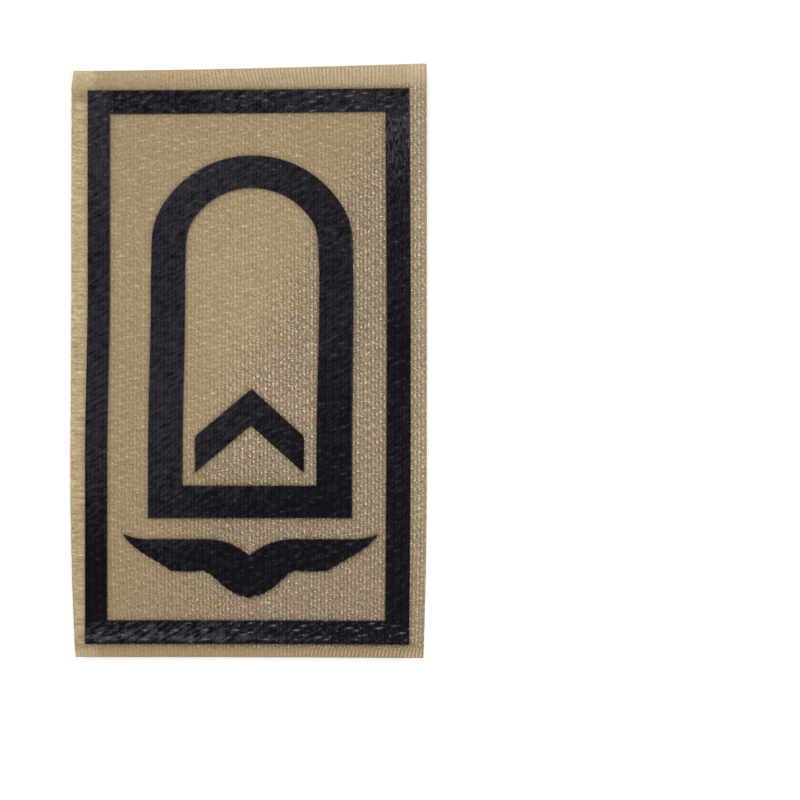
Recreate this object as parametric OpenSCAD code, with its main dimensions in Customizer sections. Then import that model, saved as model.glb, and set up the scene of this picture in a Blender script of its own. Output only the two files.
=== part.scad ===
// Woven hook-backed rank patch, lying face up.
// +X runs across the patch, +Y up the patch and +Z out of its face.
// The origin is on the resting surface, under the middle of the patch.

/* [Patch] */
// Width of the patch at its widest
patch_w = 50; // [50:0.5:60]
// Height of the patch along its taller, right-hand side
patch_h = 83.1; // [82.5:0.1:100]
// How much shorter the left-hand side is, from a cut slightly out of square
cut_slant = 1.1; // [0:0.1:2]
// Height at which the patch is widest, as a share of its height
belly_at = 0.33; // [0.2:0.01:0.6]
// How far the lower left corner draws in from the widest line
left_foot_in = 0.7; // [0:0.05:1]
// How far the upper left corner draws in from the widest line
left_head_in = 0.22; // [0:0.02:1]
// How far the lower right corner draws in from the widest line
right_foot_in = 0.5; // [0:0.05:1]

/* [Layers] */
// Thickness of the woven face cloth
cloth_t = 1; // [1:0.1:1.6]
// Height of the hook field under the cloth
hook_t = 1.2; // [0.8:0.1:2]
// Distance from the cloth's edge to the hook field
hook_inset = 1.6; // [1.5:0.1:4]
// Thickness of the pressed marks
mark_t = 0.2; // [0.1:0.05:0.4]
// Air gap left between one layer and the next
layer_gap = 0.03; // [0.02:0.01:0.05]

/* [Rim] */
// Width of the rolled rim of the cloth
rim_w = 1.3; // [0.8:0.1:1.4]
// How far the top of the cloth rolls down at its edge
rim_roll = 0.42; // [0:0.02:0.6]
// How far the underside of the cloth turns down at its edge
rim_droop = 0.24; // [0:0.02:0.4]

/* [Curl] */
// Rise of the lower right corner where the tape keeps a soft curl
curl_rise = 1.3; // [0.4:0.1:3]
// Direction in which the curl rises, in degrees from +X
curl_dir = -30.5; // [-60:0.5:-20]
// Distance from the middle of the patch to the line where the curl starts
curl_start = 9; // [6:0.5:20]

/* [Marks] */
// Shift of the arch, the chevron and the wings to the right of the middle
mark_shift = 0.6; // [0:0.05:0.6]
// How far the marks lean to the left towards the foot
mark_lean = 0.38; // [0:0.02:0.5]
// Height above the middle at which the lean begins
lean_from = 10; // [0:1:20]
// Height of the band over which the lean grows
lean_run = 24; // [10:1:30]

/* [Border frame] */
// Cloth left bare on each side of the border frame
side_margin = 2.56; // [1.7:0.02:2.6]
// Cloth left bare above the border frame, at the taller side
head_margin = 3.6; // [3:0.05:6]
// Cloth left bare below the border frame
foot_margin = 1.9; // [1.6:0.05:3]
// Width of the frame's head, foot and right-hand bar
bar_w = 3.3; // [1:0.05:3.5]
// Width of the frame's left-hand bar
left_bar_w = 3.1; // [1:0.05:3.5]
// Shift of the frame to the right of the middle
frame_shift = 0.08; // [0:0.02:0.2]
// How far the frame's right-hand bar bows out
frame_bow = 0.2; // [0:0.05:0.4]
// How much shorter the frame's left-hand side is
frame_slant = 0.32; // [0:0.02:0.5]

/* [Arch] */
// Width of the arch over its legs
arch_w = 28.3; // [26:0.05:29]
// Height of the arch from its foot to its crown
arch_h = 50.65; // [44:0.05:51]
// Width of each leg of the arch
arch_leg = 4.8; // [2:0.05:5.2]
// Thickness of the arch at its foot and its crown
arch_band = 4.55; // [2:0.05:5]
// Height of the arch's foot above the lower edge of the patch
arch_foot = 19.45; // [18:0.05:20]
// How much larger the radius of the round head is than half the width
head_swell = 0.55; // [0:0.05:0.7]
// Length over which the round head softly runs into each leg
shoulder_soft = 0.35; // [0.05:0.05:0.6]

/* [Chevron] */
// Width of the chevron
chevron_w = 15.25; // [8:0.05:15.5]
// Height of each upright end of the chevron
chevron_end = 5.05; // [2:0.05:6]
// Upright thickness of the chevron at its point
chevron_crown = 5.1; // [2:0.05:6]
// How far the chevron's point rises above its ends
chevron_rise = 6.65; // [3:0.05:10]
// How far the chevron's point stands to the right of its middle
chevron_aside = 0.18; // [0:0.02:0.3]
// Height of the chevron's lower ends above the arch's foot
chevron_lift = 6.35; // [6.1:0.05:12]
// Size of the cut across the outer corners of the ends
chevron_nip = 0.25; // [0.05:0.05:0.6]

/* [Wings] */
// Distance from the middle of the wings to each tip
wing_span = 17.6; // [17:0.05:17.8]
// Height of the wings' straight upper edge above their lowest point
wing_top = 8.24; // [8.2:0.01:9]
// Depth of the dip between the shoulders
wing_dip = 2.3; // [1:0.05:3]
// Distance from the middle to where each shoulder straightens
wing_shoulder = 6.4; // [4:0.1:9]
// How far each tip sweeps up over the straight edge
wing_sweep = 0.7; // [0.3:0.05:1.5]
// How far each feather's end bulges
feather_bulge = 0.13; // [0:0.01:0.2]
// Height of the wings' lowest point above the lower edge of the patch
wing_foot = 8.3; // [7:0.05:8.5]

/* [Hidden] */

// Sampling of round and swept shapes
bow_steps = 48;
bar_steps = 12;
leg_steps = 8;
curl_fn = 1440;
side_steps = 12;
feather_steps = 4;
shoulder_steps = 8;
cloth_across = 12;
cloth_along = 20;
rim_rings = [0, 0.18, 0.5, 1];

// Heights of the layers where the patch lies flat
cloth_low = hook_t + layer_gap;
cloth_high = hook_t + cloth_t;
mark_low = cloth_high + layer_gap;
mark_high = mark_low + mark_t;

half_w = patch_w / 2;
half_h = patch_h / 2;
curl_aim = [cos(curl_dir), sin(curl_dir)];
curl_run = half_w * curl_aim.x - half_h * curl_aim.y - curl_start;
curl_r = (curl_run * curl_run + curl_rise * curl_rise) / (2 * curl_rise);
block_reach = patch_w + patch_h;
block_h = mark_high + 4 * curl_rise;

frame_w = patch_w - 2 * side_margin;
frame_h = patch_h - head_margin - foot_margin;

// How far to the right of the middle the lean is whole, and where it has died out
lean_whole = 8;
lean_end = 22;

// How far under the round head's middle the legs of the arch are straight
leg_drop = 2;

// How strongly the slanted cut bows, and the wings' shoulders
cut_curve = 1.5;
shoulder_curve = 2.3;

// Length over which each wing's tip sweeps up, and height of the notch in the tail
sweep_run = 3.2;
tail_notch = 0.05;

// The wings' lower edge, a row for each feather's end from the tail outwards
FEATHER_OUT = 0;
FEATHER_UP = 1;
feathers = [
    [0.75, 0.4],
    [1.65, 0.52],
    [2.5, 1.03],
    [3.45, 1.63],
    [4.4, 2.53],
    [5.4, 3.43],
    [6.3, 3.85],
    [10.7, 3.8],
    [11.6, 4.37],
    [12.55, 4.98],
    [13.6, 5.6],
    [14.65, 6.23],
    [15.6, 6.9],
    [16.5, 7.6],
];

// Straight blend from a to b
function mix(a, b, t) = a + (b - a) * t;

// Soft step: 0 up to low, 1 from high on, with a cubic between
function soft_step(low, high, x) =
    let (t = min(1, max(0, (x - low) / (high - low))))
    t * t * (3 - 2 * t);

// Lesser of a and b, with a soft change from one to the other
function soft_min(a, b, softness) = min(a, b) - softness * ln(1 + exp(-abs(a - b) / softness));

// How far a side draws in at height share v, from nothing at the widest line
function draw_in(v, foot, head) =
    v < belly_at
        ? foot * pow((belly_at - v) / belly_at, 2)
        : head * sin(90 * (v - belly_at) / (1 - belly_at));

// Upper edge of the patch at width share u
function head_y(u) = half_h - cut_slant * (1 - pow(u, cut_curve));

// Plan position at shares u and v of the width and height
function plan(u, v) = [
    mix(draw_in(v, left_foot_in, left_head_in) - half_w, half_w - draw_in(v, right_foot_in, 0), u),
    mix(-half_h, head_y(u), v)
];

// Height at plan position p of a layer that lies h above the resting surface
function laid_z(p, h) =
    let (past = p * curl_aim - curl_start)
    past <= 0 ? h : curl_r - sqrt(pow(curl_r - h, 2) - past * past);

// Place of a mark's point p after the lean
function leaning(p) =
    p - [mark_lean * soft_step(0, lean_run, lean_from - p.y) * (1 - soft_step(lean_whole, lean_end, p.x)), 0];

// Quarter round that falls from 1 at the edge to 0 at the rim's inner line
function rim_fall(d) = d >= rim_w ? 0 : 1 - sqrt(1 - pow(1 - d / rim_w, 2));

// Shares at which the cloth is sampled over a length, close together in the rims
function samples(length, cells) = concat(
    [for (r = rim_rings) r * rim_w / length],
    [for (i = [1:cells - 1]) mix(rim_w / length, 1 - rim_w / length, i / cells)],
    [for (i = [len(rim_rings) - 1:-1:0]) 1 - rim_rings[i] * rim_w / length]
);

// Distance from the nearest edge at shares u and v
function edge_gap(u, v) = min(min(u, 1 - u) * patch_w, min(v, 1 - v) * patch_h);

// Two triangles that close the four-sided cell a, b, c, d
function cell(a, b, c, d) = [[a, b, c], [a, c, d]];

// The patch's outline drawn in by a margin
module outline(margin) {
    u0 = margin / patch_w;
    v0 = margin / patch_h;
    shares = [for (i = [0:side_steps]) i / side_steps];
    polygon(concat(
        [for (t = shares) plan(mix(u0, 1 - u0, t), v0)],
        [for (t = shares) if (t > 0) plan(1 - u0, mix(v0, 1 - v0, t))],
        [for (t = shares) if (t > 0) plan(mix(1 - u0, u0, t), 1 - v0)],
        [for (t = shares) if (t > 0 && t < 1) plan(u0, mix(1 - v0, v0, t))]
    ));
}

// The space between two heights, flat up to the curl's line and bent up past it
module curled_layer(low, high) {
    rotate([0, 0, curl_dir])
        translate([curl_start, 0, 0]) {
            translate([-block_reach, -block_reach, low])
                cube([block_reach, 2 * block_reach, high - low]);
            intersection() {
                translate([0, -block_reach, -1])
                    cube([block_reach, 2 * block_reach, block_h + 1]);
                translate([0, 0, curl_r])
                    rotate([90, 0, 0])
                        difference() {
                            cylinder(r = curl_r - low, h = 2 * block_reach, center = true, $fn = curl_fn);
                            cylinder(r = curl_r - high, h = 3 * block_reach, center = true, $fn = curl_fn);
                        }
            }
        }
}

// A flat drawing laid on the patch as a layer that follows its curl
module laid(low, high) {
    intersection() {
        linear_extrude(height = block_h)
            children();
        curled_layer(low, high);
    }
}

// A closed outline pressed on the face, with an open one inside it
module pressed(outer, inner = []) {
    color("#262429")
        laid(mark_low, mark_high)
            difference() {
                polygon([for (p = outer) leaning(p)]);
                if (len(inner) > 0)
                    polygon([for (p = inner) leaning(p)]);
            }
}

// Numbers or points from a up to but without b, in even steps
function steps(a, b, count) = [for (k = [0:count - 1]) mix(a, b, k / count)];

// The frame's outline drawn in by a distance on the left and by another on the other three sides
function frame_outline(left_in, other_in) =
    let (
        left = frame_shift - frame_w / 2 + left_in,
        right = frame_shift + frame_w / 2 - other_in,
        foot = foot_margin - half_h + other_in,
        head = foot + frame_h - 2 * other_in
    )
    concat(
        steps([left, foot], [right, foot], bar_steps),
        [for (t = steps(0, 1, bar_steps))
            [right + frame_bow * sin(180 * t), mix(foot, head, t)]],
        [for (p = steps([right, head], [left, head], bar_steps))
            p - [0, frame_slant * (1 - pow((p.x - left) / (right - left), cut_curve))]],
        steps([left, head - frame_slant], [left, foot], bar_steps)
    );

// Round-topped outline between two heights, whose head is an arc of a radius over half its width
function arch_outline(half, low, high) =
    let (
        r = half + head_swell,
        spring = high - r,
        leg_top = spring - leg_drop
    )
    [
        for (p = concat(
            steps([-half, low], [half, low], leg_steps),
            steps([half, low], [half, leg_top], leg_steps),
            [for (k = [0:bow_steps])
                let (turn = 180 * k / bow_steps, reach = r * cos(turn))
                [sign(reach) * soft_min(half, abs(reach), shoulder_soft), spring + r * sin(turn)]],
            steps([-half, leg_top], [-half, low], leg_steps)
        ))
        p + [mark_shift, 0]
    ];

// Upper edge of a wing at distance s from the middle
function wing_upper(s) =
    let (sweep_from = wing_span - sweep_run)
    s < wing_shoulder ? wing_top - wing_dip * pow(1 - s / wing_shoulder, shoulder_curve)
    : s < sweep_from ? wing_top
    : wing_top + wing_sweep * pow((s - sweep_from) / sweep_run, 2);

// Lower edge of a wing from the tail out to the tip, bulging at each feather
function wing_lower() =
    let (
        tip = [wing_span, wing_upper(wing_span)],
        ends = concat([[0, tail_notch]], feathers, [tip])
    )
    [
        for (i = [0:len(ends) - 2])
            let (
                step = ends[i + 1] - ends[i],
                out = [step[FEATHER_UP], -step[FEATHER_OUT]] / norm(step)
            )
            for (k = [0:feather_steps - 1])
                let (t = k / feather_steps)
                ends[i] + step * t + out * feather_bulge * sin(180 * t)
    ];

// Woven face cloth: a sheet with a rolled rim, bowed sides and a soft curl
module face_cloth() {
    us = samples(patch_w, cloth_across);
    vs = samples(patch_h, cloth_along);
    nu = len(us);
    nv = len(vs);
    under = nu * nv;
    points = concat(
        [for (v = vs) for (u = us)
            let (p = plan(u, v))
            [p.x, p.y, laid_z(p, cloth_high - rim_roll * rim_fall(edge_gap(u, v)))]],
        [for (v = vs) for (u = us)
            let (p = plan(u, v))
            [p.x, p.y, laid_z(p, cloth_low - rim_droop * rim_fall(edge_gap(u, v)))]]
    );
    faces = concat(
        [for (j = [0:nv - 2]) for (i = [0:nu - 2])
            let (a = j * nu + i)
            each cell(a, a + nu, a + nu + 1, a + 1)],
        [for (j = [0:nv - 2]) for (i = [0:nu - 2])
            let (a = under + j * nu + i)
            each cell(a, a + 1, a + nu + 1, a + nu)],
        [for (i = [0:nu - 2])
            each cell(i, i + 1, under + i + 1, under + i)],
        [for (i = [0:nu - 2])
            let (a = (nv - 1) * nu + i)
            each cell(a + 1, a, under + a, under + a + 1)],
        [for (j = [0:nv - 2])
            let (a = j * nu)
            each cell(a + nu, a, under + a, under + a + nu)],
        [for (j = [0:nv - 2])
            let (a = j * nu + nu - 1)
            each cell(a, a + nu, under + a + nu, under + a)]
    );
    color("#a4906f")
        polyhedron(points = points, faces = faces, convexity = 4);
}

// Hook field on the back, set in from the edges of the cloth
module hook_backing() {
    color("#8d7a5c")
        laid(0, hook_t)
            outline(hook_inset);
}

// Four-sided frame pressed on the face near its edges
module border_frame() {
    pressed(frame_outline(0, 0), frame_outline(left_bar_w, bar_w));
}

// Closed round-topped band
module arch() {
    foot = arch_foot - half_h;
    pressed(
        arch_outline(arch_w / 2, foot, foot + arch_h),
        arch_outline(arch_w / 2 - arch_leg, foot + arch_band, foot + arch_h - arch_band)
    );
}

// Single chevron that points up inside the arch
module chevron() {
    half = chevron_w / 2;
    right_slope = chevron_rise / (half - chevron_aside);
    left_slope = chevron_rise / (half + chevron_aside);
    shape = [
        [chevron_aside, chevron_end + chevron_rise],
        [half - chevron_nip, chevron_end + chevron_nip * right_slope],
        [half, chevron_end - chevron_nip],
        [half, 0],
        [chevron_aside, chevron_end + chevron_rise - chevron_crown],
        [-half, 0],
        [-half, chevron_end - chevron_nip],
        [chevron_nip - half, chevron_end + chevron_nip * left_slope],
    ];
    pressed([for (p = shape) p + [mark_shift, arch_foot + chevron_lift - half_h]]);
}

// Pair of spread wings below the arch
module wings() {
    upper = concat(
        [for (k = [0:shoulder_steps - 1])
            let (s = wing_shoulder * k / shoulder_steps)
            [s, wing_upper(s)]],
        [for (k = [0:shoulder_steps])
            let (s = mix(wing_shoulder, wing_span, k / shoulder_steps))
            [s, wing_upper(s)]]
    );
    lower = wing_lower();
    last = len(upper) - 1;
    shape = concat(
        lower,
        [for (i = [last:-1:0]) upper[i]],
        [for (i = [1:last]) [-upper[i].x, upper[i].y]],
        [for (i = [len(lower) - 1:-1:1]) [-lower[i].x, lower[i].y]]
    );
    pressed([for (p = shape) p + [mark_shift, wing_foot - half_h]]);
}

hook_backing();
face_cloth();
border_frame();
arch();
chevron();
wings();
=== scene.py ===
"""Dresses the woven rank patch: cloth with a real weave, pressed marks, hooks, edge fibres and the stage."""

import bpy
import numpy as np
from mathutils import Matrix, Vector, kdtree


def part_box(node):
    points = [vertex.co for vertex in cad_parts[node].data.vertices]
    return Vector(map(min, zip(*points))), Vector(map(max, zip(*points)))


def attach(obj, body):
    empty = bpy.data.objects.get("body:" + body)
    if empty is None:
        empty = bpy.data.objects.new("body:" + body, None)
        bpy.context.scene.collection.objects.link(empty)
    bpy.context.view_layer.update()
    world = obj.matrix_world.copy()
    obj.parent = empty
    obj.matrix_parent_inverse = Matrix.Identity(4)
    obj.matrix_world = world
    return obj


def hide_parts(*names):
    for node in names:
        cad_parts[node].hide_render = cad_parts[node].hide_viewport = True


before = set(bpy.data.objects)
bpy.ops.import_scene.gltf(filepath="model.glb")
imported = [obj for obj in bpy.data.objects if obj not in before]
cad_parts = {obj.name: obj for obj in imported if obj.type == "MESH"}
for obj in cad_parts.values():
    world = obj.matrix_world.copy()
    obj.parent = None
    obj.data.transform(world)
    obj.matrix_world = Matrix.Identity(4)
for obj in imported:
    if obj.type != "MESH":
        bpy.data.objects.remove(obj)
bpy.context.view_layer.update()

bl_info = {
    "name": "Woven rank patch",
    "version": (1, 0, 0),
    "blender": (4, 5, 0),
    "location": "View3D > Sidebar > Patch",
    "description": "Makes the cloth, marks, hooks and fibres of a woven hook-backed rank patch",
    "category": "Add Mesh",
}

BODY = "root"
MM = 0.001

# The patch's own sizes in metres, and the share of its height at which it is widest
PATCH_LOW, PATCH_HIGH = (np.array(corner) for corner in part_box("face_cloth"))
HALF_W = (PATCH_HIGH[0] - PATCH_LOW[0]) / 2
HALF_H = (PATCH_HIGH[1] - PATCH_LOW[1]) / 2
CUT_SLANT = 1.1 * MM
BELLY_AT = 0.33
LEFT_FOOT_IN = 0.7 * MM
LEFT_HEAD_IN = 0.22 * MM
RIGHT_FOOT_IN = 0.5 * MM

# The marks' shift to the right, and the height and run over which they lean to the left towards the foot
MARK_SHIFT = 0.6 * MM
MARK_LEAN = 0.38 * MM
LEAN_FROM = 10 * MM
LEAN_RUN = 24 * MM
LEAN_WHOLE = 8 * MM
LEAN_END = 22 * MM

# Heights of the layers where the patch lies flat
HOOK_TOP = 1.2 * MM
LAYER_GAP = 0.03 * MM
CLOTH_TOP = 2.2 * MM
FILM_TOP = CLOTH_TOP + LAYER_GAP + 0.2 * MM
FILM_LOW = CLOTH_TOP - 0.06 * MM

# The soft curl of the lower right corner
CURL_RISE = 1.3 * MM
CURL_AIM = np.array([np.cos(np.radians(-30.5)), np.sin(np.radians(-30.5))])
CURL_START = 9 * MM
CURL_RUN = HALF_W * CURL_AIM[0] - HALF_H * CURL_AIM[1] - CURL_START
CURL_R = (CURL_RUN**2 + CURL_RISE**2) / (2 * CURL_RISE)

# The weave: pairs of ribs across the patch, groups of four picks up it, and the cells that each gets.
# A pair is a round rib and a thin one, which lies the share THIN_RIB of a pair further on.
PAIRS = 46.6
FIRST_RIB = 0.4
GROUPS = 63.6
THIN_RIB = 0.46
CELLS_A_PAIR = 8
CELLS_A_GROUP = 4

# The film's cells between its rounded edges, and how far the edges are rounded down
FILM_CELL = 0.15 * MM
FILM_ROUNDING = 0.06 * MM

# The web that holds the hooks, and how far their stems reach into it
WEB_THICK = 0.22 * MM
STEM_IN_WEB = 0.1 * MM


def blend(a, b, t):
    """Straight blend from a to b."""
    return a + (b - a) * t


def smooth(low, high, x):
    """Soft step: 0 up to low, 1 from high on, with a cubic between."""
    t = np.clip((x - low) / (high - low), 0, 1)
    return t * t * (3 - 2 * t)


def bell(x, middle, reach):
    """Bell of x: 1 at its middle, falling off to either side, and 1/e at its reach."""
    return np.exp(-(((x - middle) / reach) ** 2))


def draw_in(v, foot, head):
    """How far a side draws in at height share v: a parabola below the widest line, a quarter sine above."""
    below = foot * (np.clip(BELLY_AT - v, 0, None) / BELLY_AT) ** 2
    above = head * np.sin(np.pi / 2 * np.clip(v - BELLY_AT, 0, None) / (1 - BELLY_AT))
    return below + above


def slow_drift(u, v, rng, size):
    """Sum of six slow sines of the two shares, with drawn directions and phases."""
    total = np.zeros(np.broadcast(u, v).shape)
    for turns in (2, 3, 4, 6, 8, 11):
        across, along, phase = rng.normal(0, turns, 1), rng.normal(0, turns, 1), rng.uniform(0, 2 * np.pi)
        total = total + np.sin(2 * np.pi * (across * u + along * v) / 2 + phase) / turns
    return size * total


def drift(u, v):
    """How far the threads wander from their straight places, across and along, at shares u and v."""
    rng = np.random.default_rng(31)
    calm = smooth(0, 0.05, np.minimum(np.minimum(u, 1 - u), np.minimum(v, 1 - v)))
    return slow_drift(u, v, rng, 0.045 * MM) * calm, slow_drift(u, v, rng, 0.05 * MM) * calm


def plan(u, v):
    """Place on the floor of shares u and v: a blend between the bowed sides and up to the slanted head."""
    left = draw_in(v, LEFT_FOOT_IN, LEFT_HEAD_IN) - HALF_W
    right = HALF_W - draw_in(v, RIGHT_FOOT_IN, 0)
    head = HALF_H - CUT_SLANT * (1 - u**1.5)
    dx, dy = drift(u, v)
    return blend(left, right, u) + dx, blend(-HALF_H, head, v) + dy


def shares(x, y):
    """The shares u and v of a place: the plan undone by repeated correction of a first guess."""
    u, v = (x + HALF_W) / (2 * HALF_W), (y + HALF_H) / (2 * HALF_H)
    for _ in range(6):
        px, py = plan(np.clip(u, 0, 1), np.clip(v, 0, 1))
        u, v = u + (x - px) / (2 * HALF_W), v + (y - py) / (2 * HALF_H)
    return np.clip(u, 0, 1), np.clip(v, 0, 1)


def from_edges(u, v):
    """Distances from the left and the right cut edge and from the foot and the head, in mm."""
    across, up = 2 * HALF_W / MM, 2 * HALF_H / MM
    return u * across, (1 - u) * across, v * up, (1 - v) * up


def laid(x, y, h):
    """Height of a layer that lies h above the floor: h, and past the curl's line an arc round its axis."""
    past = np.clip(x * CURL_AIM[0] + y * CURL_AIM[1] - CURL_START, 0, None)
    return CURL_R - np.sqrt((CURL_R - h) ** 2 - past**2)


def raised(x, y, h):
    """Points of a layer at height h over the places x and y."""
    return np.stack([x, y, laid(x, y, h)], -1)


def leaning(x, y):
    """A mark's points after the lean, which grows towards the foot and dies out towards the right."""
    share = smooth(0, LEAN_RUN, LEAN_FROM - y) * (1 - smooth(LEAN_WHOLE, LEAN_END, x))
    return np.column_stack([x - MARK_LEAN * share, y])


def open_weave(u, v):
    """How open the weave stands: pressed flat at the upper left, and near 1 past the diagonal of the curl.

    The step across the diagonal is less towards the left side, in the right-hand margin and near the foot.
    """
    x, y = (2 * u - 1) * HALF_W, (2 * v - 1) * HALF_H
    across = x * CURL_AIM[0] + y * CURL_AIM[1]
    lasting = smooth(-19 * MM, 2 * MM, x) * (1 - 0.3 * smooth(22 * MM, 23 * MM, x))
    step = (0.68 - 0.13 * (1 - smooth(0.1, 0.3, v))) * smooth(-4.5 * MM, 4 * MM, across) * lasting
    return 0.15 + 0.17 * smooth(-30 * MM, -8 * MM, across) + step


def nearest(turn):
    """Signed distance in turns to the nearest whole turn."""
    return turn - np.round(turn)


def rib_phase(i):
    """Where in a group of picks the weft passes over rib i: the broken order 3, 1, 0, 2, in quarters."""
    return (np.abs(2 * np.mod(i, 4) - 3.5) - 0.5) / 4


def crossing_size(i, k):
    """How strongly the weft shows where it passes over rib i for the kth time: drawn for each, round 1."""
    ribs, turns = 64, 96
    drawn = np.random.default_rng(5).normal(1, 0.32, (ribs, turns)).clip(0.15, 1.7)
    return drawn[np.mod(i, ribs).astype(int), np.mod(k, turns).astype(int)]


def threads_at(u, v):
    """Rib number and group number at shares u and v."""
    return u * PAIRS + FIRST_RIB, v * GROUPS


def round_top(off, half_width):
    """Half circle over a ridge: 1 at its middle and 0 from its half width on."""
    return np.sqrt(np.clip(1 - (off / half_width) ** 2, 0, None))


def ridges(ribs):
    """Round ridge of each rib and the lower one between two, from 0 in the grooves to 1."""
    return round_top(nearest(ribs), 0.25), round_top(nearest(ribs - THIN_RIB), 0.2)


def weave(ribs, groups, openness):
    """Relief of the ground weave, from about 0 in its holes to 1 on its crests.

    The ridges swell where the weft passes over and dip just below, and beside each thin ridge a hole opens
    where the weft passes over the rib to its right.
    """
    tall, low = ridges(ribs)
    side = np.abs(nearest(ribs))
    own = nearest(groups - rib_phase(np.round(ribs)))
    beside = nearest(groups - rib_phase(np.floor(ribs) + 1))
    swell = bell(side, 0, 0.2) * bell(own, 0, 0.2)
    dip = bell(side, 0, 0.2) * bell(own, -0.26, 0.14)
    hole = bell(side, 0.25, 0.1) * bell(beside, 0, 0.16)
    relief = 1 - openness * (0.9 - 0.6 * tall - 0.42 * low) + 0.1 * swell - 0.16 * dip
    return relief - 0.3 * hole * openness


def pressed_weave(ribs, groups, openness):
    """Relief that shows through the film: its ridges, and a bulge across each rib where the weft passes."""
    tall, low = ridges(ribs)
    i = np.round(ribs)
    off = ribs - i
    turn = groups - rib_phase(i) + 0.35 * off**2
    bulge = bell(off, 0, 0.32) * bell(nearest(turn), 0, 0.13) * crossing_size(i, np.round(turn))
    return 0.25 + (0.5 + 0.5 * openness) * (0.3 * tall + 0.14 * low) + 0.36 * bulge


def margin_ridges(u, v):
    """Wave of the equal ridges, two to a pair, in the plain margins. They tilt left towards the cut edge."""
    _, _, from_foot, from_head = from_edges(u, v)
    at_head = 0.29 * from_head * bell(u, 0.52, 0.16)
    at_foot = 0.2 * from_foot * smooth(0.55, 0.7, u)
    aside = np.where(v > 0.5, at_head, at_foot) * MM
    ribs, _ = threads_at(u - aside / (2 * HALF_W), v)
    return np.cos(4 * np.pi * ribs)


def turned_edge(ribs, groups):
    """Relief of the left margin, where the weft turns back: a soft ridge across for each group."""
    return 0.8 + 0.1 * np.cos(2 * np.pi * groups) + 0.04 * np.cos(2 * np.pi * (ribs * 0.3 + groups))


def margins(u, v):
    """How far a place belongs to the plain margins at head and foot, and to the left one."""
    from_left, _, from_foot, from_head = from_edges(u, v)
    plain = np.maximum(1 - smooth(2.6, 3.2, from_head), 1 - smooth(1.1, 1.6, from_foot))
    return plain, (1 - smooth(1.9, 2.4, from_left)) * (1 - plain)


def cloth_relief(u, v):
    """Relief of the ground weave with its margins blended in."""
    ribs, groups = threads_at(u, v)
    openness = open_weave(u, v)
    plain, turned = margins(u, v)
    relief = blend(weave(ribs, groups, openness), turned_edge(ribs, groups), turned)
    return blend(relief, 0.75 + 0.22 * openness * margin_ridges(u, v), plain)


def mark_edge_shade(x, y):
    """Painted shade on the cloth beside the marks' edges: a bell of the distance to the nearest edge."""
    points = np.concatenate([edge for edges, _ in MARKS.values() for edge in edges()])
    tree = kdtree.KDTree(len(points))
    for number, (px, py) in enumerate(points):
        tree.insert((px, py, 0), number)
    tree.balance()
    away = np.array([tree.find((px, py, 0))[2] for px, py in zip(x.ravel(), y.ravel())]).reshape(x.shape)
    return bell(away, 0, 0.5 * MM)


def margin_shade(u, v):
    """How much paler the cloth is in its margins, with the light and dark of their ridges."""
    from_left, from_right, from_foot, from_head = from_edges(u, v)
    plain, _ = margins(u, v)
    clear_head = smooth(0.12, 0.45, u) * (1 - 0.35 * smooth(0.75, 0.95, u))
    clear_head = clear_head * blend(0.9, 0.45, from_head / 3.2)
    clear_foot = 0.3 + 0.75 * smooth(0.5, 0.8, u)
    clear = blend(clear_foot, clear_head, smooth(0.3, 0.7, v))
    head = blend(0.42, 0.96, u) - blend(1.2, 0.75, u) * np.clip(from_head / 3.4, 0, 1)
    head = head * (1 - smooth(3.8, 5, from_head))
    foot = (0.25 - 0.6 * smooth(0.1, 1.2, from_foot)) * (1 - smooth(2.2, 3.5, from_foot))
    left = (0.8 + 0.45 * (1 - smooth(0, 0.9, from_left))) * (1 - smooth(2.6, 4, from_left))
    right = 0.35 * (1 - smooth(2.2, 3, from_right))
    return plain * (0.3 + clear * margin_ridges(u, v)) + head + foot + left + right


def cloth_shades(u, v):
    """Numbers for the cloth's finish: how open, plain, streaked across, pale and warm it is at a place."""
    openness = open_weave(u, v)
    plain, turned = margins(u, v)
    margin = np.maximum(plain, turned)
    x, y = plan(u, v)
    # Painted light: paler inside the arch. Painted shade: darker in a band below the arch
    inside = bell(x, -1.4 * MM, 9 * MM) * bell(y, 8 * MM, 16 * MM)
    shaded = bell(x, 0, 11 * MM) * bell(y, -19.5 * MM, 4.5 * MM)
    pale = margin_shade(u, v) + 0.38 * inside - 0.4 * shaded - 0.12 - 0.21 * openness
    # Painted shade: darker beside the marks' edges, and darker towards the foot
    pale = pale - 0.2 * (1 - smooth(0.1, 0.4, v)) - 0.7 * mark_edge_shade(x, y)
    cooler = 1 - 0.75 * plain * smooth(0.4, 0.9, u) * smooth(0.3, 0.7, v)
    warm = np.maximum(1 - openness, margin) * cooler
    return {"open": openness, "plain": margin, "across": turned, "pale": pale, "warm": warm}


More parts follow.
